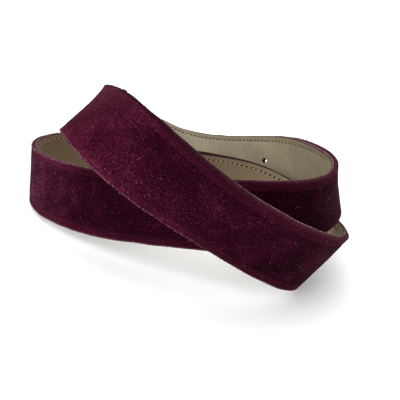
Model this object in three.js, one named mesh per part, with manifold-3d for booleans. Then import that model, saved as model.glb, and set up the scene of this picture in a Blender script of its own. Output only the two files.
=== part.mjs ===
// A suede strap belt wound in two loose turns and standing on its edge. A velvety face is turned
// in over both long edges, and a leather lining is sewn inside it. Millimetres, +Z up, origin on
// the table below the middle of the coil. The face looks outward all the way round.
import * as THREE from 'three';
import { mergeVertices } from 'three/addons/utils/BufferGeometryUtils.js';
import Module from 'manifold-3d';

// The strap's cut
const STRAP_LENGTH = 1104;
const STRAP_WIDTH = 38;
const STRAP_THICKNESS = 4;
const LINING_THICKNESS = 1.2;
const TURNED_EDGE = 1.6;
const SEAM_GAP = 0.3;
const EDGE_SOFTNESS = 0.9;
const SECTION_LENGTH = 8;
const TIP_LENGTH = 17;
const TIP_SECTIONS = 5;

// How far the strap's lower edge is pressed flat where it stands on the table
const PRESSED_FLAT = 0.3;

// The punched hole, which the prong has drawn out along the strap
const HOLE_LENGTH = 5.6;
const HOLE_WIDTH = 3.8;
const HOLE_SIDES = 16;
const HOLE_FROM_TIP = 125;

// Pegs that the strap's middle line is drawn past, from the tip to just beyond the hidden end. x runs
// to the right, y away, z up, and lean tips the strap's upper edge outward, in degrees.
const PEGS = [
  { x: -94, y: 67, z: 92, lean: -34 },
  { x: -38, y: 100, z: 34, lean: 47 },
  { x: 16, y: 95, z: 21, lean: 31 },
  { x: 75, y: 45, z: 42, lean: 12 },
  { x: 103, y: -21, z: 54, lean: -44 },
  { x: 87, y: -64, z: 47, lean: 15 },
  { x: 58, y: -80, z: 43, lean: -9 },
  { x: 21, y: -71, z: 38, lean: -1 },
  { x: -50, y: -45, z: 23, lean: -26 },
  { x: -107, y: 5, z: 19, lean: -1 },
  { x: -104, y: 63, z: 19, lean: 7 },
  { x: -52, y: 86, z: 19, lean: -8 },
  { x: 19, y: 70, z: 18, lean: -38 },
  { x: 72, y: 32, z: 20, lean: 25 },
  { x: 97, y: -41, z: 13, lean: 48 },
  { x: 82, y: -89, z: 21, lean: 15 },
  { x: 31, y: -106, z: 48, lean: 30 },
  { x: -14, y: -94, z: 72, lean: -17 },
  { x: -46, y: -57, z: 85, lean: -68 },
  { x: -62, y: 8, z: 66, lean: -13 },
  { x: -56, y: 88, z: 47, lean: -22 },
  { x: -36, y: 163, z: 117, lean: -50 },
];

// Stretches of the strap, from bend to bend, as shares of its length
const STRETCHES = [
  { name: 'outer_back', from: 0, to: 0.2 },
  { name: 'front_wall', from: 0.2, to: 0.44 },
  { name: 'inner_back', from: 0.44, to: 0.68 },
  { name: 'front_diagonal', from: 0.68, to: 0.94 },
  { name: 'hidden_end', from: 0.94, to: 1 },
];

const SUEDE = new THREE.MeshStandardMaterial({ name: 'suede', color: 0x4a1630, roughness: 0.95 });
const LEATHER = new THREE.MeshStandardMaterial({ name: 'leather', color: 0x978a6e, roughness: 0.7 });

const wasm = await Module();
wasm.setup();

// The middle line is a smooth curve: each span blends four neighbouring pegs
class StrapCourse extends THREE.Curve {
  blend(place, column) {
    const spans = PEGS.length - 3;
    const first = Math.min(Math.floor(place * spans), spans - 1);
    const f = place * spans - first;
    const weights = [(1 - f) ** 3, 3 * f ** 3 - 6 * f ** 2 + 4, -3 * f ** 3 + 3 * f ** 2 + 3 * f + 1, f ** 3];
    return weights.reduce((sum, weight, k) => sum + (weight * PEGS[first + k][column]) / 6, 0);
  }

  getPoint(place, target = new THREE.Vector3()) {
    return target.set(this.blend(place, 'x'), this.blend(place, 'y'), this.blend(place, 'z'));
  }
}

const course = new StrapCourse();
course.arcLengthDivisions = 800;
const COURSE_LENGTH = course.getLength();

// The strap's middle point, upward and outward directions at a distance from the tip
function frameAt(distance) {
  const place = course.getUtoTmapping(distance / COURSE_LENGTH);
  const middle = course.getPoint(place);
  const along = course.getTangent(place);
  const lean = THREE.MathUtils.degToRad(course.blend(place, 'lean'));
  const level = new THREE.Vector3(0, 0, 1).cross(along).normalize();
  const steep = along.clone().cross(level);
  const up = steep.clone().multiplyScalar(Math.cos(lean)).addScaledVector(level, Math.sin(lean));
  const out = level.clone().multiplyScalar(Math.cos(lean)).addScaledVector(steep, -Math.sin(lean));
  return { middle, up, out };
}

// Half the strap's width at a distance from the tip, which is rounded
function halfWidthAt(distance) {
  const toFull = Math.max(1 - distance / TIP_LENGTH, 0);
  return (STRAP_WIDTH / 2) * Math.sqrt(1 - toFull ** 2);
}

// The suede's section: a shallow channel, its edges turned in beside the lining
function suedeSection(halfWidth) {
  const face = STRAP_THICKNESS / 2;
  const floor = LINING_THICKNESS + SEAM_GAP - face;
  const lip = halfWidth - TURNED_EDGE;
  return [
    { height: -halfWidth + EDGE_SOFTNESS, depth: face },
    { height: -halfWidth, depth: face - EDGE_SOFTNESS },
    { height: -halfWidth, depth: EDGE_SOFTNESS - face },
    { height: -halfWidth + EDGE_SOFTNESS, depth: -face },
    { height: -lip, depth: -face },
    { height: -lip, depth: floor },
    { height: lip, depth: floor },
    { height: lip, depth: -face },
    { height: halfWidth - EDGE_SOFTNESS, depth: -face },
    { height: halfWidth, depth: EDGE_SOFTNESS - face },
    { height: halfWidth, depth: face - EDGE_SOFTNESS },
    { height: halfWidth - EDGE_SOFTNESS, depth: face },
  ];
}

// The lining's section: a flat strip in the suede's channel
function liningSection(halfWidth) {
  const reach = halfWidth - TURNED_EDGE - SEAM_GAP;
  const inside = -STRAP_THICKNESS / 2;
  return [
    { height: -reach, depth: inside + LINING_THICKNESS },
    { height: -reach, depth: inside },
    { height: reach, depth: inside },
    { height: reach, depth: inside + LINING_THICKNESS },
  ];
}

// Distances from the tip at which a stretch has sections, closer together round the tip
function sectionDistances({ from, to }) {
  const start = from * STRAP_LENGTH + SEAM_GAP / 2;
  const end = to * STRAP_LENGTH - SEAM_GAP / 2;
  const distances = [];
  let first = start;
  if (from === 0) {
    for (let k = 1; k <= TIP_SECTIONS; k += 1) {
      distances.push(TIP_LENGTH * (1 - Math.cos((Math.PI / 2) * (k / TIP_SECTIONS))));
    }
    first = TIP_LENGTH + SECTION_LENGTH;
  }
  const count = Math.round((end - first) / SECTION_LENGTH);
  for (let k = 0; k <= count; k += 1) {
    distances.push(first + ((end - first) * k) / count);
  }
  return distances;
}

// A closed body through the sections at the distances. No point goes below the table. The short
// edge between the triangles of a face runs the same way on the suede and on the lining.
function sweep(distances, sectionOf) {
  const sections = distances.map((distance) => sectionOf(halfWidthAt(distance)));
  const size = sections[0].length;
  const positions = [];
  distances.forEach((distance, i) => {
    const { middle, up, out } = frameAt(distance);
    sections[i].forEach(({ height, depth }) => {
      const point = middle.clone().addScaledVector(up, height).addScaledVector(out, depth);
      positions.push(point.x, point.y, Math.max(point.z - PRESSED_FLAT, 0));
    });
  });
  const triangles = [];
  for (let i = 0; i < sections.length - 1; i += 1) {
    for (let j = 0; j < size; j += 1) {
      const next = (j + 1) % size;
      const [a, b, c, d] = [i * size + j, i * size + next, (i + 1) * size + next, (i + 1) * size + j];
      const rising = sections[i][next].height > sections[i][j].height;
      triangles.push(...(rising ? [a, c, b, a, d, c] : [a, d, b, b, d, c]));
    }
  }
  const outline = sections[0].map(({ height, depth }) => new THREE.Vector2(height, depth));
  const lastStart = (sections.length - 1) * size;
  THREE.ShapeUtils.triangulateShape(outline, []).forEach(([a, b, c]) => {
    triangles.push(a, b, c, lastStart + a, lastStart + c, lastStart + b);
  });
  const geometry = new THREE.BufferGeometry();
  geometry.setAttribute('position', new THREE.Float32BufferAttribute(positions, 3));
  geometry.setIndex(triangles);
  return geometry;
}

// An oval punch that goes right through the strap at a distance from the tip
function punchAt(distance) {
  const { middle, up, out } = frameAt(distance);
  const along = out.clone().cross(up);
  const punch = new THREE.CylinderGeometry(1, 1, 3 * STRAP_THICKNESS, HOLE_SIDES);
  punch.scale(HOLE_LENGTH / 2, 1, HOLE_WIDTH / 2);
  punch.applyMatrix4(new THREE.Matrix4().makeBasis(along, out, up));
  punch.translate(middle.x, middle.y, middle.z - PRESSED_FLAT);
  return punch;
}

function toManifold(geometry) {
  const bare = new THREE.BufferGeometry();
  bare.setAttribute('position', geometry.getAttribute('position'));
  bare.setIndex(geometry.getIndex());
  const merged = mergeVertices(bare);
  const vertProperties = new Float32Array(merged.getAttribute('position').array);
  const triVerts = new Uint32Array(merged.getIndex().array);
  return new wasm.Manifold(new wasm.Mesh({ numProp: 3, vertProperties, triVerts }));
}

function fromManifold(solid) {
  const { vertProperties, triVerts } = solid.getMesh();
  const geometry = new THREE.BufferGeometry();
  geometry.setAttribute('position', new THREE.Float32BufferAttribute(vertProperties, 3));
  geometry.setIndex(Array.from(triVerts));
  return geometry;
}

function punched(geometry) {
  return fromManifold(toManifold(geometry).subtract(toManifold(punchAt(HOLE_FROM_TIP))));
}

function strip(name, material, distances, sectionOf, hasHole) {
  const swept = sweep(distances, sectionOf);
  const geometry = hasHole ? punched(swept) : swept;
  geometry.computeVertexNormals();
  const mesh = new THREE.Mesh(geometry, material);
  mesh.name = name;
  return mesh;
}

const belt = new THREE.Group();
STRETCHES.forEach((stretch) => {
  const distances = sectionDistances(stretch);
  const hasHole = stretch.from === 0;
  belt.add(strip(`suede_${stretch.name}`, SUEDE, distances, suedeSection, hasHole));
  belt.add(strip(`lining_${stretch.name}`, LEATHER, distances, liningSection, hasHole));
});

// The origin is set below the middle of the coil
const middle = new THREE.Box3().setFromObject(belt).getCenter(new THREE.Vector3());
belt.position.set(-middle.x, -middle.y, 0);

export default belt;
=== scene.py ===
import math
import random

import bmesh
import bpy
import numpy as np
from mathutils import Matrix, Vector


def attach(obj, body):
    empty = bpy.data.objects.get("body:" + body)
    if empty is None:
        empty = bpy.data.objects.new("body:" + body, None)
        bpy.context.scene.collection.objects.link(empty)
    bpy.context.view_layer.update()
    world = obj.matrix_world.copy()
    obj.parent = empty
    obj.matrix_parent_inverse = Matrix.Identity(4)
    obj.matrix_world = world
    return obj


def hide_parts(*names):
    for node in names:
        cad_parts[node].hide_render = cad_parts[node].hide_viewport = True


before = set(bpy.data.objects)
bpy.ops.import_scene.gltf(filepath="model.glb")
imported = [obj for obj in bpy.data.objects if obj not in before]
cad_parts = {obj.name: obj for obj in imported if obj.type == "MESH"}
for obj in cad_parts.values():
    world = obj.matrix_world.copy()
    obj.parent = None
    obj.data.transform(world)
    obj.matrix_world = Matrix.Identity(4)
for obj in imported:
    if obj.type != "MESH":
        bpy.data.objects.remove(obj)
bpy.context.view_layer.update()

MM = 0.001

# The strap's cut. Lengths are in millimetres, and only the points of the meshes are in metres.
STRAP_LENGTH = 1104
HALF_WIDTH = 19
HALF_THICKNESS = 2
TIP_LENGTH = 17
TIP_SECTIONS = 14
PRESSED_FLAT = 0.3
LINING_THICKNESS = 1.2
LINING_INSET = 0.5
STITCH_INSET = 4
STITCH_PITCH = 4
FIRST_STITCH = 1.5
LINING_STITCH_LENGTH = 2.3
SUEDE_STITCH_LENGTH = 2.6
HOLE_LENGTH = 5.6
HOLE_WIDTH = 3.8
HOLE_FROM_TIP = 125

# The left bend's stretch of the strap, whose upper edge is the most worn
LEFT_BEND = (385, 570)

# The middle of the coil's box, which is set over the frame's origin
COIL_MIDDLE = np.array((-0.30, -0.05, PRESSED_FLAT))

# Pegs that the strap's middle line is drawn past, from the tip to just beyond the hidden end:
# x, y and z in millimetres, and how far the upper edge leans outward, in degrees
PEGS = np.array([
    (-94, 67, 92, -34),
    (-38, 100, 34, 47),
    (16, 95, 21, 31),
    (75, 45, 42, 12),
    (103, -21, 54, -44),
    (87, -64, 47, 15),
    (58, -80, 43, -9),
    (21, -71, 38, -1),
    (-50, -45, 23, -26),
    (-107, 5, 19, -1),
    (-104, 63, 19, 7),
    (-52, 86, 19, -8),
    (19, 70, 18, -38),
    (72, 32, 20, 25),
    (97, -41, 13, 48),
    (82, -89, 21, 15),
    (31, -106, 48, 30),
    (-14, -94, 72, -17),
    (-46, -57, 85, -68),
    (-62, 8, 66, -13),
    (-56, 88, 47, -22),
    (-36, 163, 117, -50),
], dtype=float)


# The camera, at the photograph's viewing angle and tilted as the photograph is
ELEVATION = math.radians(19.69)
ROLL = math.radians(7.14)
EYE = Vector((0.0161, -0.28195, 0.1253))

camera_data = bpy.data.cameras.new("camera")
camera_data.sensor_width = 36
camera_data.lens = 39.9
camera_data.shift_x = 0.00975
camera_data.shift_y = -0.02275
camera_data.clip_start = 0.01
camera = bpy.data.objects.new("camera", camera_data)
bpy.context.scene.collection.objects.link(camera)
bpy.context.scene.camera = camera
forward = Vector((0, math.cos(ELEVATION), -math.sin(ELEVATION)))
level_right = Vector((1, 0, 0))
level_up = Vector((0, math.sin(ELEVATION), math.cos(ELEVATION)))
right = math.cos(ROLL) * level_right + math.sin(ROLL) * level_up
up = math.cos(ROLL) * level_up - math.sin(ROLL) * level_right
turn = Matrix((right, up, -forward)).transposed().to_4x4()
camera.matrix_world = Matrix.Translation(EYE) @ turn


# The strap's course

def blend(place, weights_of):
    """The pegs' columns at a place along the course, which is counted in spans. Each span blends
    four neighbouring pegs."""
    first = np.minimum(np.floor(place).astype(int), len(PEGS) - 4)
    weights = weights_of(place - first)
    return sum(weight[..., None] * PEGS[first + k] for k, weight in enumerate(weights)) / 6


def spans(f):
    """The four pegs' weights at a fraction of a span."""
    return (1 - f) ** 3, 3 * f**3 - 6 * f**2 + 4, -3 * f**3 + 3 * f**2 + 3 * f + 1, f**3


def span_slopes(f):
    """How fast the four weights change there."""
    return -3 * (1 - f) ** 2, 9 * f**2 - 12 * f, -9 * f**2 + 6 * f + 3, 3 * f**2


def unit(vectors):
    return vectors / np.linalg.norm(vectors, axis=-1, keepdims=True)


COURSE_STEPS = 12000
PLACES = np.linspace(0, len(PEGS) - 3, COURSE_STEPS + 1)
STEPS = np.linalg.norm(np.diff(blend(PLACES, spans)[:, :3], axis=0), axis=1)
TRAVELLED = np.concatenate([[0], np.cumsum(STEPS)])


def frames_at(distance):
    """The middle point, and the along, up and out directions, at distances from the tip."""
    place = np.interp(distance, TRAVELLED, PLACES)
    pegs = blend(place, spans)
    along = unit(blend(place, span_slopes)[..., :3])
    lean = np.radians(pegs[..., 3])[..., None]
    level = unit(np.cross(np.array((0.0, 0.0, 1.0)), along))
    steep = np.cross(along, level)
    up_way = steep * np.cos(lean) + level * np.sin(lean)
    out_way = level * np.cos(lean) - steep * np.sin(lean)
    return pegs[..., :3], along, up_way, out_way


def strap_points(distance, height, depth):
    """Points in metres, height above the middle line and depth towards the suede's side."""
    distance, height, depth = np.broadcast_arrays(distance, height, depth)
    middle, _, up_way, out_way = frames_at(distance)
    points = middle + up_way * height[..., None] + out_way * depth[..., None] - COIL_MIDDLE
    points[..., 2] = np.maximum(points[..., 2], 0)
    return points * MM


def bend_at(distance):
    """How sharply the strap bends towards its lining, per millimetre."""
    reach = 2
    _, before, _, _ = frames_at(np.clip(distance - reach, 0, STRAP_LENGTH))
    _, after, _, _ = frames_at(np.clip(distance + reach, 0, STRAP_LENGTH))
    _, _, _, out_way = frames_at(distance)
    return -np.sum((after - before) * out_way, axis=-1) / (2 * reach)


def ripple(x, y, seed, waves, shortest, longest):
    """Smooth seeded unevenness of about 1 either way, from waves in every direction."""
    rng = np.random.default_rng(seed)
    total = np.zeros(np.broadcast(x, y).shape)
    for _ in range(waves):
        way = rng.uniform(0, math.pi)
        length = rng.uniform(shortest, longest)
        phase = rng.uniform(0, 2 * math.pi)
        total += np.sin((x * math.cos(way) + y * math.sin(way)) * 2 * math.pi / length + phase)
    return total / math.sqrt(waves)


def groove(inset, centre, depth, width):
    """The depth, at an inset, of a rounded groove that runs along the strap."""
    return depth * np.exp(-(((inset - centre) / width) ** 2))


# Meshes

def mesh_object(name, points, faces, uvs=None, smooth=True):
    mesh = bpy.data.meshes.new(name)
    mesh.from_pydata([tuple(p) for p in points], [], faces)
    if uvs is not None:
        layer = mesh.uv_layers.new(name="strap")
        corners = np.empty(len(mesh.loops), dtype=np.int32)
        mesh.loops.foreach_get("vertex_index", corners)
        layer.data.foreach_set("uv", np.asarray(uvs)[corners].astype(np.float32).ravel())
    mesh.polygons.foreach_set("use_smooth", [smooth] * len(mesh.polygons))
    mesh.update()
    piece = bpy.data.objects.new(name, mesh)
    bpy.context.scene.collection.objects.link(piece)
    return piece


def stations(step):
    """Cross-sections from the tip to the hidden end: round the tip they turn about its middle."""
    turns = np.linspace(0, math.pi / 2, TIP_SECTIONS + 1)[:-1]
    straight = np.linspace(TIP_LENGTH, STRAP_LENGTH, round((STRAP_LENGTH - TIP_LENGTH) / step))
    base = np.concatenate([np.full(len(turns), TIP_LENGTH), straight])
    reach = np.concatenate([TIP_LENGTH * np.cos(turns), np.zeros(len(straight))])
    rise = np.concatenate([np.sin(turns), np.ones(len(straight))])
    return base[:, None], reach[:, None], rise[:, None]


def swept(name, ring, step, shape_depth, wobble):
    """A closed shell of the strap's cut. ring holds a height, a depth and a girth for each point
    round the section. shape_depth adds to the depth, and wobble to the half width."""
    height, depth, girth = (np.array(column, dtype=float)[None, :] for column in zip(*ring))
    base, reach, rise = stations(step)
    share = np.abs(height) / HALF_WIDTH
    distance = base - reach * share
    risen = height * rise
    risen = risen + np.sign(height) * rise * share**6 * wobble(distance, np.sign(height))
    deep = depth + shape_depth(distance, risen, height, depth)
    points = strap_points(distance, risen, deep)
    count, size = distance.shape
    uvs = np.stack([distance, np.broadcast_to(girth, distance.shape)], axis=-1) * MM
    index = np.arange(count * size).reshape(count, size)
    turned = np.roll(index, -1, axis=1)
    quads = np.stack([index[:-1], index[1:], turned[1:], turned[:-1]], axis=-1).reshape(-1, 4)
    faces = [tuple(int(i) for i in quad) for quad in quads]
    faces.append(tuple(int(i) for i in index[-1]))
    piece = mesh_object(name, points.reshape(-1, 3), faces, uvs.reshape(-1, 2))
    close(piece)
    return piece


def close(piece):
    """Joins points in the same place and turns all faces outward."""
    work = bmesh.new()
    work.from_mesh(piece.data)
    bmesh.ops.remove_doubles(work, verts=work.verts, dist=1e-6)
    bmesh.ops.dissolve_degenerate(work, edges=work.edges, dist=1e-7)
    bmesh.ops.recalc_face_normals(work, faces=work.faces)
    work.to_mesh(piece.data)
    work.free()


def mirrored(half_ring):
    """A whole ring from the points of its upper half, which run from outside to inside."""
    lower = [(-height, depth, -girth) for height, depth, girth in reversed(half_ring)]
    return half_ring + lower


# The suede: a face with a sewn channel near each edge, turned in over the edges. An inset is how
# far a point of the section lies inside the strap's edge.
FACE_INSETS = (
    2.2, 2.8, 3.3, 3.7, 4.0, 4.3, 4.7, 5.3, 6.2, 7.5, 9.0, 10.5, 12.0, 13.5, 15.0, 16.5, 18.0,
)
EDGE_ROUND = 0.8
CORNER_STEPS = 5

# The edge beyond the rounded corner, to where the suede is turned in beside the lining: inset,
# depth and girth
TURNED_EDGE = (
    (0, 0, 20),
    (0, -1.1, 21),
    (0.15, -1.6, 21.6),
    (0.4, -1.85, 22.1),
    (0.7, -1.75, 22.6),
    (1.0, -0.85, 23.5),
)


def suede_ring():
    half = []
    for inset in reversed(FACE_INSETS):
        half.append((HALF_WIDTH - inset, HALF_THICKNESS, HALF_WIDTH - inset))
    for k in range(CORNER_STEPS + 1):
        angle = math.pi / 2 * k / CORNER_STEPS
        height = HALF_WIDTH - EDGE_ROUND + EDGE_ROUND * math.sin(angle)
        depth = HALF_THICKNESS - EDGE_ROUND + EDGE_ROUND * math.cos(angle)
        half.append((height, depth, HALF_WIDTH - EDGE_ROUND + EDGE_ROUND * angle))
    for inset, depth, girth in TURNED_EDGE:
        half.append((HALF_WIDTH - inset, depth, girth))
    return mirrored(half)


def suede_shape(distance, risen, height, depth):
    outside = depth > HALF_THICKNESS - 0.05
    inset = HALF_WIDTH - np.abs(height)
    channel = -groove(inset, STITCH_INSET, depth=0.20, width=0.8)
    rim = -groove(inset, 1.5, depth=0.10, width=1.0)
    crown = 0.20 * (1 - (height / HALF_WIDTH) ** 2)
    uneven = 0.10 * ripple(distance, risen, seed=11, waves=9, shortest=9, longest=38)
    return np.where(outside, channel + rim + crown + uneven, 0)


def edge_wobble(distance, side):
    """How far each edge strays from its line. The edges lie far apart in the ripple, so they differ."""
    apart = 70
    return 0.18 * ripple(distance, side * apart, seed=23, waves=8, shortest=6, longest=40)


suede = swept("suede_strap", suede_ring(), step=1.25, shape_depth=suede_shape, wobble=edge_wobble)


# The lining: a flat strip with a sewn channel near each edge and fine creases where it bends
LINING_INSETS = (
    0.9, 1.8, 2.8, 3.3, 3.7, 4.0, 4.3, 4.7, 5.3, 6.5, 8.0, 9.5, 11.0, 12.5, 14.0, 15.5, 17.0, 18.3,
)


def lining_ring():
    inside = -HALF_THICKNESS
    half = [(HALF_WIDTH - LINING_INSET - 0.3, inside + LINING_THICKNESS, 21)]
    half.append((HALF_WIDTH - LINING_INSET, inside + 0.6, 20))
    half.append((HALF_WIDTH - LINING_INSET - 0.05, inside + 0.2, 19))
    half += [(HALF_WIDTH - inset, inside, HALF_WIDTH - inset) for inset in LINING_INSETS]
    return mirrored(half)


def lining_shape(distance, risen, height, depth):
    inside = depth < -HALF_THICKNESS + 0.05
    inset = HALF_WIDTH - np.abs(height)
    channel = groove(inset, STITCH_INSET, depth=0.30, width=0.7)
    crown = -0.15 * (1 - (height / HALF_WIDTH) ** 2)
    squeezed = np.clip(bend_at(distance) * 40, 0, 1)
    winding = 2 * ripple(distance, risen, seed=5, waves=6, shortest=8, longest=30)
    creases = ripple(distance * 6 + winding, risen, seed=31, waves=10, shortest=14, longest=60)
    uneven = 0.05 * ripple(distance, risen, seed=47, waves=9, shortest=8, longest=30)
    return np.where(inside, channel + crown + uneven + 0.10 * squeezed * creases, 0)


def no_wobble(distance, side):
    return 0


lining = swept("lining_strap", lining_ring(), step=1.0, shape_depth=lining_shape, wobble=no_wobble)


# The punched hole, cut through both
def hole_cutter():
    sides = 28
    reach = 6
    middle, along, up_way, out_way = frames_at(np.array(float(HOLE_FROM_TIP)))
    points = []
    for depth in (-reach, reach):
        for angle in np.arange(sides) * 2 * math.pi / sides:
            ring = along * math.cos(angle) * HOLE_LENGTH / 2
            ring = ring + up_way * math.sin(angle) * HOLE_WIDTH / 2
            points.append((middle - COIL_MIDDLE + out_way * depth + ring) * MM)
    faces = [(k, (k + 1) % sides, sides + (k + 1) % sides, sides + k) for k in range(sides)]
    faces += [tuple(reversed(range(sides))), tuple(range(sides, 2 * sides))]
    cutter = mesh_object("cutter", points, faces, smooth=False)
    close(cutter)
    return cutter


def punch(piece, cutter):
    modifier = piece.modifiers.new("punch", "BOOLEAN")
    modifier.operation = "DIFFERENCE"
    modifier.solver = "EXACT"
    modifier.object = cutter
    view = bpy.context.evaluated_depsgraph_get()
    cut = bpy.data.meshes.new_from_object(piece.evaluated_get(view))
    piece.modifiers.clear()
    piece.data = cut


cutter = hole_cutter()
punch(suede, cutter)
punch(lining, cutter)
bpy.data.objects.remove(cutter)


# The sewing: one row of stitches, all round the strap a little inside its edge
def seam_path():
    """Distances and heights every 0.1 mm, from the lower hidden end round the tip and back."""
    step = 0.1
    short_of_end = 2
    round_steps = 240
    along = np.arange(STRAP_LENGTH - short_of_end, TIP_LENGTH, -step)
    turns = np.linspace(0, math.pi / 2, round_steps)
    inner_height = HALF_WIDTH - STITCH_INSET
    inner_length = TIP_LENGTH * inner_height / HALF_WIDTH
    round_distance = TIP_LENGTH - inner_length * np.cos(turns)
    round_height = inner_height * np.sin(turns)
    distance = np.concatenate([along, round_distance[::-1], round_distance[1:], along[::-1]])
    height = np.concatenate([
        np.full(len(along), -inner_height), -round_height[::-1], round_height[1:],
        np.full(len(along), inner_height),
    ])
    return distance, height


def seam_stations(count_from):
    """The seam's path, its own length at each of its points, and where its stitches start."""
    distance, height = seam_path()
    walked = np.concatenate([[0], np.cumsum(np.hypot(np.diff(distance), np.diff(height)))])
    starts = np.arange(count_from, walked[-1] - STITCH_PITCH, STITCH_PITCH)
    return distance, height, walked, starts


def thread_piece(name, depth, sink, length, thick, seed, slant):
    """Short rounded stitches, their ends sunk into the needle holes."""
    rng = random.Random(seed)
    distance, height, walked, starts = seam_stations(FIRST_STITCH)
    points, faces = [], []
    sides = 6
    shares = np.array((0.0, 0.12, 0.35, 0.65, 0.88, 1.0))
    arch = np.sin(shares * math.pi)
    for start in starts:
        reach = length * rng.uniform(0.93, 1.05)
        fat = thick * rng.uniform(0.9, 1.1)
        way = slant + rng.uniform(-0.05, 0.05)
        place = start + shares * reach
        d = np.interp(place, walked, distance)
        h = np.interp(place, walked, height) + (shares - 0.5) * reach * way
        rise = math.copysign(1, depth) * (fat * 0.5 * arch - sink * (1 - arch))
        middle = strap_points(d, h, depth + rise)
        _, _, _, out_way = frames_at(d)
        forward_way = unit(np.gradient(middle, axis=0))
        side_way = unit(np.cross(forward_way, out_way))
        first = len(points)
        for i, share in enumerate(shares):
            radius = fat / 2 * (0.45 + 0.55 * math.sin(math.pi * share) ** 0.5) * MM
            for k in range(sides):
                angle = 2 * math.pi * k / sides
                offset = side_way[i] * math.cos(angle) + out_way[i] * math.sin(angle)
                points.append(middle[i] + offset * radius)
        for i in range(len(shares) - 1):
            for k in range(sides):
                a = first + i * sides + k
                b = first + i * sides + (k + 1) % sides
                faces.append((a, b, b + sides, a + sides))
        faces.append(tuple(first + k for k in reversed(range(sides))))
        last = first + (len(shares) - 1) * sides
        faces.append(tuple(last + k for k in range(sides)))
    piece = mesh_object(name, points, faces)
    close(piece)
    return piece


lining_thread = thread_piece(
    "lining_stitches", depth=-HALF_THICKNESS + 0.2, sink=0.35, length=LINING_STITCH_LENGTH,
    thick=0.75, seed=3, slant=0.10,
)
suede_thread = thread_piece(
    "suede_stitches", depth=HALF_THICKNESS - 0.36, sink=0.30, length=SUEDE_STITCH_LENGTH,
    thick=0.42, seed=4, slant=0.0,
)


def needle_hole_shadows():
    """Needle holes between the stitches on the lining, each a thin slanted oval disc, dark with painted
    shadow of the pulled stitches. They are drawn wider beyond the left bend."""
    between_stitches = (STITCH_PITCH - LINING_STITCH_LENGTH) / 2
    distance, height, walked, starts = seam_stations(FIRST_STITCH - between_stitches)
    points, faces = [], []
    sides = 10
    angles = np.arange(sides) * 2 * math.pi / sides
    hub_depths = -HALF_THICKNESS + np.array([0.13, 0.30])
    for start in starts:
        d = np.interp(start, walked, distance)
        h = np.interp(start, walked, height)
        pulled = 1.3 if d > LEFT_BEND[1] else 1
        ring_d = d + pulled * 1.05 * np.cos(angles)
        ring_h = h + pulled * (0.50 * np.sin(angles) + 0.25 * np.cos(angles))
        rim = strap_points(ring_d, ring_h, -HALF_THICKNESS + 0.10)
        hubs = strap_points(d, h, hub_depths)
        first = len(points)
        points.extend(rim)
        points.extend(hubs)
        for k in range(sides):
            faces.append((first + k, first + (k + 1) % sides, first + sides))
            faces.append((first + (k + 1) % sides, first + k, first + sides + 1))
    piece = mesh_object("needle_hole_shadows", points, faces)
    close(piece)
    return piece


prick_shadows = needle_hole_shadows()


# Lint and longer pale hairs caught in the nap and along the edges
def fibre(points, faces, line, thick):
    """Adds a three-sided tapering thread along a line of points, in metres."""
    line = np.asarray(line)
    first = len(points)
    ways = unit(np.gradient(line, axis=0))
    skew = np.array((0.31, 0.57, 0.76))
    one = unit(np.cross(ways, skew))
    two = np.cross(ways, one)
    for i in range(len(line)):
        radius = thick / 2 * (1 - 0.6 * abs(2 * i / (len(line) - 1) - 1))
        for k in range(3):
            angle = 2 * math.pi * k / 3
            points.append(line[i] + radius * (one[i] * math.cos(angle) + two[i] * math.sin(angle)))
    for i in range(len(line) - 1):
        for k in range(3):
            a = first + 3 * i + k
            b = first + 3 * i + (k + 1) % 3
            faces.append((a, b, b + 3, a + 3))
    faces.append((first + 2, first + 1, first))
    last = first + 3 * (len(line) - 1)
    faces.append((last, last + 1, last + 2))


def edge_fibres(points, faces, rng, side, count, stretch, reaches, thick):
    """Adds short fibres that stand along one edge of the suede, in a stretch of its length."""
    for _ in range(count):
        d = rng.uniform(*stretch)
        depth = rng.uniform(0.4, 2.1)
        reach = rng.uniform(*reaches)
        lean = rng.uniform(-0.8, 0.8)
        out = rng.uniform(0, 0.5)
        root = HALF_WIDTH - 0.25 - max(depth - 1.2, 0) * 0.8
        heights = side * (root + np.array([0, 0.6, 1.0]) * reach)
        run = d + np.array([0, 0.3, 1.0]) * reach * lean
        deep = depth + np.array([0, 0.5, 1.0]) * reach * out
        fibre(points, faces, strap_points(run, heights, deep), thick * MM)


def lint():
    """Fibres caught on the suede: short ones and long hairs on its face, and short ones along its
    lower corner and the left bend's upper edge."""
    rng = random.Random(8)
    points, faces = [], []
    face = (-HALF_WIDTH + 1, HALF_WIDTH - 1)
    lower_corner = (-HALF_WIDTH + 0.3, -HALF_WIDTH + 0.8)
    lowest, highest = -HALF_WIDTH + 0.2, HALF_WIDTH - 0.6
    steps = np.linspace(0, 1, 6)
    deep = HALF_THICKNESS + 0.27 + 0.10 * np.sin(steps * math.pi)
    for count, shortest, longest, thick, heights in (
        (1200, 0.25, 0.6, 0.11, face),
        (150, 1.2, 4.5, 0.09, face),
        (300, 0.3, 1.0, 0.13, lower_corner),
    ):
        for _ in range(count):
            d = rng.uniform(4, STRAP_LENGTH - 4)
            h = rng.uniform(*heights)
            way = rng.uniform(0, 2 * math.pi)
            curl = rng.uniform(-1.1, 1.1)
            reach = rng.uniform(shortest, longest)
            angles = way + curl * steps * 2
            run_d = d + np.cumsum(np.cos(angles)) * reach / len(steps)
            run_h = h + np.cumsum(np.sin(angles)) * reach / len(steps)
            run_h = np.clip(run_h, lowest, highest)
            fibre(points, faces, strap_points(run_d, run_h, deep), thick * MM)
    edge_fibres(
        points, faces, rng, side=1, count=560, stretch=LEFT_BEND, reaches=(0.4, 0.9), thick=0.27,
    )
    return mesh_object("lint", points, faces)


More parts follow.
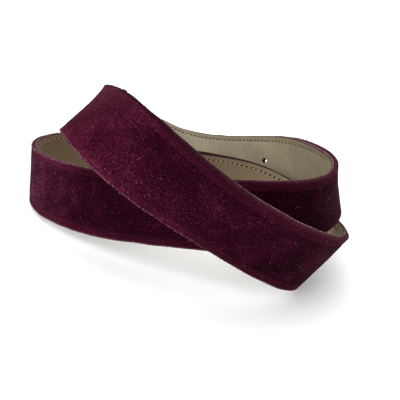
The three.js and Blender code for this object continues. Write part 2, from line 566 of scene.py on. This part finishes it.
def edge_nap():
    """Short fibres of the suede itself along both edges."""
    rng = random.Random(9)
    points, faces = [], []
    whole = (TIP_LENGTH, STRAP_LENGTH - 1)
    for side in (-1, 1):
        edge_fibres(
            points, faces, rng, side, count=4200, stretch=whole, reaches=(0.3, 0.9), thick=0.10,
        )
    return mesh_object("edge_nap", points, faces)


specks = lint()
fringe = edge_nap()


# Materials

def shades(tree, stops, source):
    """Colours that change with the source. stops holds (place, colour) pairs."""
    ramp = tree.nodes.new("ShaderNodeValToRGB")
    ramp.color_ramp.elements[0].position = stops[0][0]
    ramp.color_ramp.elements[0].color = (*stops[0][1], 1)
    ramp.color_ramp.elements[1].position = stops[-1][0]
    ramp.color_ramp.elements[1].color = (*stops[-1][1], 1)
    for place, colour in stops[1:-1]:
        ramp.color_ramp.elements.new(place).color = (*colour, 1)
    tree.links.new(source, ramp.inputs["Fac"])
    return ramp.outputs["Color"]


def greys(tree, stops, source):
    """Grey levels that change with the source. stops holds (place, level) pairs."""
    return shades(tree, [(place, (level, level, level)) for place, level in stops], source)


def noise(tree, vector, scale, detail, rough=0.5, stretch=(1, 1, 1)):
    mapping = tree.nodes.new("ShaderNodeMapping")
    mapping.inputs["Scale"].default_value = stretch
    tree.links.new(vector, mapping.inputs["Vector"])
    node = tree.nodes.new("ShaderNodeTexNoise")
    node.inputs["Scale"].default_value = scale
    node.inputs["Detail"].default_value = detail
    node.inputs["Roughness"].default_value = rough
    tree.links.new(mapping.outputs["Vector"], node.inputs["Vector"])
    return node.outputs["Fac"]


def maths(tree, operation, a, b=None, clamp=False):
    node = tree.nodes.new("ShaderNodeMath")
    node.operation = operation
    node.use_clamp = clamp
    for socket, value in zip(node.inputs, (a, b)):
        if value is None:
            continue
        if isinstance(value, (int, float)):
            socket.default_value = value
        else:
            tree.links.new(value, socket)
    return node.outputs["Value"]


def fade(tree, value, low, high, to_low=0.0, to_high=1.0):
    """A smooth change from to_low to to_high as the value goes from low to high."""
    node = tree.nodes.new("ShaderNodeMapRange")
    node.interpolation_type = "SMOOTHSTEP"
    node.inputs["From Min"].default_value = low
    node.inputs["From Max"].default_value = high
    node.inputs["To Min"].default_value = to_low
    node.inputs["To Max"].default_value = to_high
    tree.links.new(value, node.inputs["Value"])
    return node.outputs["Result"]


def window(tree, value, start, full, still_full, end):
    """1 from full to still_full, and 0 up to start and from end."""
    return maths(tree, "MULTIPLY", fade(tree, value, start, full), fade(tree, value, end, still_full))


def weighed(tree, *parts):
    """The sum of values that are each multiplied by a weight."""
    total = None
    for value, weight in parts:
        share = maths(tree, "MULTIPLY", value, weight)
        total = share if total is None else maths(tree, "ADD", total, share)
    return total


# The places of a mix node's two colours among its inputs, and of its colour among its outputs
MIX_FIRST = 6
MIX_SECOND = 7
MIX_RESULT = 2


def mixed(tree, share, one, two):
    """The first colour where the share is 0, and the second where it is 1."""
    node = tree.nodes.new("ShaderNodeMix")
    node.data_type = "RGBA"
    tree.links.new(share, node.inputs["Factor"])
    for socket, value in ((node.inputs[MIX_FIRST], one), (node.inputs[MIX_SECOND], two)):
        if isinstance(value, tuple):
            socket.default_value = (*value, 1)
        else:
            tree.links.new(value, socket)
    return node.outputs[MIX_RESULT]


def bumped(tree, height, strength, distance, before=None):
    node = tree.nodes.new("ShaderNodeBump")
    node.inputs["Strength"].default_value = strength
    node.inputs["Distance"].default_value = distance
    tree.links.new(height, node.inputs["Height"])
    if before is not None:
        tree.links.new(before, node.inputs["Normal"])
    return node.outputs["Normal"]


def new_material(name):
    material = bpy.data.materials.new(name)
    material.use_nodes = True
    tree = material.node_tree
    shader = tree.nodes["Principled BSDF"]
    return material, tree, shader


def strap_coordinates(tree):
    """The strap's own coordinates: the vector, the girth from its middle line in millimetres, the
    share of its length from the tip, and the girth again, below zero towards the lower edge."""
    coordinates = tree.nodes.new("ShaderNodeUVMap")
    coordinates.uv_map = "strap"
    split = tree.nodes.new("ShaderNodeSeparateXYZ")
    tree.links.new(coordinates.outputs["UV"], split.inputs["Vector"])
    height = maths(tree, "MULTIPLY", split.outputs["Y"], 1000)
    distance = maths(tree, "MULTIPLY", split.outputs["X"], 1000 / STRAP_LENGTH)
    return coordinates.outputs["UV"], maths(tree, "ABSOLUTE", height), distance, height


# How the nap is brushed, together with painted light and shade: lighter about the left bend and near
# the hidden end, darker about 0.2 to 0.3 and 0.7 of the length. Pairs of (share of the strap's length,
# grey level): below 0.5 it is darker
NAP_AND_PAINTED_LIGHT = [
    (0.00, 0.50),
    (0.20, 0.46),
    (0.27, 0.46),
    (0.34, 0.49),
    (0.40, 0.53),
    (0.45, 0.54),
    (0.60, 0.50),
    (0.70, 0.455),
    (0.80, 0.49),
    (0.92, 0.53),
]


# How much painted shade darkens the upper rim, as (share of the strap's length, share of the painted
# shade colour) pairs
RIM_SHADE = [
    (0.00, 0.0),
    (0.45, 0.0),
    (0.50, 0.85),
    (0.64, 0.85),
    (0.68, 0.0),
    (0.77, 0.0),
    (0.83, 0.85),
    (1.00, 0.85),
]


def suede_material():
    material, tree, shader = new_material("suede")
    vector, girth, distance, height = strap_coordinates(tree)
    grain = noise(tree, vector, 1500, 3, 0.65)
    flecks = noise(tree, vector, 700, 4, 0.7)
    mottle = noise(tree, vector, 70, 6, 0.75)
    cloud = noise(tree, vector, 17, 2, 0.5)
    tone = weighed(tree, (grain, 0.34), (flecks, 0.28), (mottle, 0.22), (cloud, 0.16))
    # Painted light and shade along the strap, mixed with the nap's own brushing, shift the tone
    nap_and_painted_light = greys(tree, NAP_AND_PAINTED_LIGHT, distance)
    tone = maths(tree, "ADD", tone, nap_and_painted_light)
    tone = maths(tree, "SUBTRACT", tone, 0.5)
    cool = shades(tree, [
        (0.415, (0.0050, 0.0003, 0.0018)),
        (0.480, (0.0180, 0.0010, 0.0063)),
        (0.540, (0.0440, 0.0035, 0.0165)),
        (0.630, (0.1650, 0.0440, 0.0850)),
    ], tone)
    warm = shades(tree, [
        (0.400, (0.0115, 0.0004, 0.0026)),
        (0.480, (0.0310, 0.0014, 0.0080)),
        (0.540, (0.0600, 0.0037, 0.0165)),
        (0.650, (0.1650, 0.0340, 0.0660)),
    ], tone)
    nap = mixed(tree, fade(tree, distance, 0.80, 0.93), cool, warm)
    patches = noise(tree, vector, 760, 5, 0.8)
    # Painted highlight: a faint lighter red line along the raised sewn channel, in patches
    seam_highlight = window(tree, girth, 14.2, 14.8, 15.2, 15.8)
    seam_highlight = maths(tree, "MULTIPLY", seam_highlight, fade(tree, patches, 0.40, 0.60, 0.0, 0.25))
    coloured = mixed(tree, fade(tree, girth, 13.5, 17.5, 0, 0.18), nap, (0.110, 0.011, 0.034))
    coloured = mixed(tree, seam_highlight, coloured, (0.080, 0.012, 0.032))
    line = window(tree, girth, 17.9, 18.5, 19.0, 19.5)
    line = maths(tree, "MULTIPLY", line, fade(tree, patches, 0.47, 0.60, 0.0, 0.85))
    worn = fade(tree, height, 1, -1, 0.10, 1.0)
    left_bend = window(tree, distance, 0.35, 0.38, 0.44, 0.47)
    worn = maths(tree, "ADD", worn, maths(tree, "MULTIPLY", left_bend, 0.5), clamp=True)
    line = maths(tree, "MULTIPLY", line, worn)
    coloured = mixed(tree, line, coloured, (0.28, 0.140, 0.170))
    bare = shades(tree, [
        (0.40, (0.021, 0.0032, 0.0085)),
        (0.64, (0.068, 0.0180, 0.0265)),
    ], noise(tree, vector, 900, 3, 0.65))
    coloured = mixed(tree, fade(tree, girth, 18.9, 19.5), coloured, bare)
    cut_edge = shades(tree, [
        (0.40, (0.060, 0.022, 0.026)),
        (0.62, (0.230, 0.140, 0.138)),
    ], noise(tree, vector, 700, 4, 0.75))
    coloured = mixed(tree, fade(tree, girth, 20.4, 20.8), coloured, cut_edge)
    # Painted shade: the upper rim is darkened where it lies in shadow
    upper_rim_shade = fade(tree, height, 16.6, 18.2)
    painted_rim_shade = maths(tree, "MULTIPLY", greys(tree, RIM_SHADE, distance), upper_rim_shade)
    coloured = mixed(tree, painted_rim_shade, coloured, (0.0115, 0.0014, 0.0042))
    coloured = mixed(tree, fade(tree, girth, 21.3, 21.7), coloured, (0.040, 0.014, 0.015))
    tree.links.new(coloured, shader.inputs["Base Color"])
    shader.inputs["Roughness"].default_value = 0.95
    shader.inputs["Specular IOR Level"].default_value = 0.02
    shader.inputs["Sheen Weight"].default_value = 0.02
    shader.inputs["Sheen Roughness"].default_value = 0.4
    shader.inputs["Sheen Tint"].default_value = (0.9, 0.30, 0.45, 1)
    coarse = bumped(tree, flecks, 0.35, 0.0005)
    tree.links.new(bumped(tree, grain, 0.55, 0.0004, coarse), shader.inputs["Normal"])
    return material


# How browned the lining is, with painted shade added where it turns about the left bend, as (share of
# the strap's length, share of the brown colour) pairs
HANDLED_AND_SHADED = [
    (0.00, 0.15),
    (0.06, 0.05),
    (0.26, 0.05),
    (0.38, 0.80),
    (0.46, 0.95),
    (0.55, 0.85),
    (0.61, 0.80),
    (0.70, 0.40),
    (1.00, 0.30),
]


def lining_material():
    material, tree, shader = new_material("lining")
    vector, girth, distance, _ = strap_coordinates(tree)
    grain = noise(tree, vector, 1500, 4, 0.65)
    streak = noise(tree, vector, 240, 3, 0.6, stretch=(3.2, 0.30, 1))
    stain = noise(tree, vector, 28, 3, 0.55)
    tone = weighed(tree, (grain, 0.42), (streak, 0.12), (stain, 0.46))
    skin = shades(tree, [
        (0.36, (0.176, 0.143, 0.086)),
        (0.50, (0.254, 0.221, 0.144)),
        (0.64, (0.326, 0.295, 0.204)),
    ], tone)
    # The brown mix is partly handling and partly painted shade about the left bend
    browning_and_shade = greys(tree, HANDLED_AND_SHADED, distance)
    coloured = mixed(tree, browning_and_shade, skin, (0.143, 0.089, 0.044))
    margin = fade(tree, girth, 15.2, 15.8, 0, 0.55)
    coloured = mixed(tree, margin, coloured, (0.190, 0.134, 0.082))
    seam = window(tree, girth, 14.3, 15.0, 15.0, 15.7)
    coloured = mixed(tree, maths(tree, "MULTIPLY", seam, 0.35), coloured, (0.11, 0.075, 0.040))
    border = fade(tree, girth, 17.2, 18.5, 0, 0.75)
    coloured = mixed(tree, border, coloured, (0.085, 0.052, 0.038))
    tree.links.new(coloured, shader.inputs["Base Color"])
    rough = fade(tree, stain, 0.3, 0.7, 0.52, 0.68)
    tree.links.new(rough, shader.inputs["Roughness"])
    shader.inputs["Specular IOR Level"].default_value = 0.3
    coarse = bumped(tree, streak, 0.25, 0.0004)
    tree.links.new(bumped(tree, grain, 0.35, 0.0002, coarse), shader.inputs["Normal"])
    return material


def thread_material(name, dark, light):
    material, tree, shader = new_material(name)
    coordinates = tree.nodes.new("ShaderNodeTexCoord")
    fuzz = noise(tree, coordinates.outputs["Object"], 900, 3, 0.6)
    coloured = shades(tree, [(0.35, dark), (0.65, light)], fuzz)
    tree.links.new(coloured, shader.inputs["Base Color"])
    shader.inputs["Roughness"].default_value = 0.9
    shader.inputs["Specular IOR Level"].default_value = 0.1
    tree.links.new(bumped(tree, fuzz, 0.5, 0.0002), shader.inputs["Normal"])
    return material


def dress(piece, material):
    piece.data.materials.clear()
    piece.data.materials.append(material)
    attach(piece, "root")


dress(suede, suede_material())
dress(lining, lining_material())
for piece, name, dark, light, slot in (
    (lining_thread, "pale_thread", (0.25, 0.215, 0.125), (0.46, 0.41, 0.27), "lining"),
    (suede_thread, "burgundy_thread", (0.018, 0.001, 0.006), (0.048, 0.005, 0.018), "suede"),
    # Painted shadow: the needle holes' dark colour stands for the shade in and beside each hole
    (prick_shadows, "needle_hole_shadow", (0.020, 0.013, 0.008), (0.045, 0.030, 0.018), "lining"),
    (specks, "lint", (0.17, 0.065, 0.090), (0.50, 0.33, 0.35), "suede"),
    (fringe, "edge_fibres", (0.045, 0.006, 0.018), (0.15, 0.050, 0.070), "suede"),
):
    dress(piece, thread_material(name, dark, light))

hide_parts(*[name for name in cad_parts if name.startswith("suede_")])
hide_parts(*[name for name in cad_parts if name.startswith("lining_")])


# The studio: a pale floor, a pale surround and soft lights

def floor():
    """A wide plain floor, set just below the belt's lower edge."""
    reach = 30
    level = -0.0001
    corners = [(x * reach, y * reach, level) for x, y in ((-1, -1), (1, -1), (1, 1), (-1, 1))]
    piece = mesh_object("floor", corners, [(0, 1, 2, 3)], smooth=False)
    material, _, shader = new_material("floor")
    shader.inputs["Base Color"].default_value = (0.93, 0.93, 0.93, 1)
    shader.inputs["Roughness"].default_value = 0.9
    piece.data.materials.append(material)


def softbox(name, place, aim, size, watts):
    light = bpy.data.lights.new(name, "AREA")
    light.shape = "SQUARE"
    light.size = size
    light.energy = watts
    lamp = bpy.data.objects.new(name, light)
    lamp.location = place
    lamp.rotation_euler = (Vector(aim) - Vector(place)).to_track_quat("-Z", "Y").to_euler()
    bpy.context.scene.collection.objects.link(lamp)


COIL_CENTRE = (0, 0, 0.04)

floor()
softbox("key", (-0.45, -0.25, 1.05), COIL_CENTRE, size=1.4, watts=9)
softbox("back", (0.45, 0.8, 0.9), COIL_CENTRE, size=1.4, watts=4)
world = bpy.data.worlds.new("surround")
world.use_nodes = True
background = world.node_tree.nodes["Background"]
background.inputs["Color"].default_value = (1, 1, 1, 1)
background.inputs["Strength"].default_value = 1.1
bpy.context.scene.world = world
bpy.context.scene.view_settings.view_transform = "Standard"
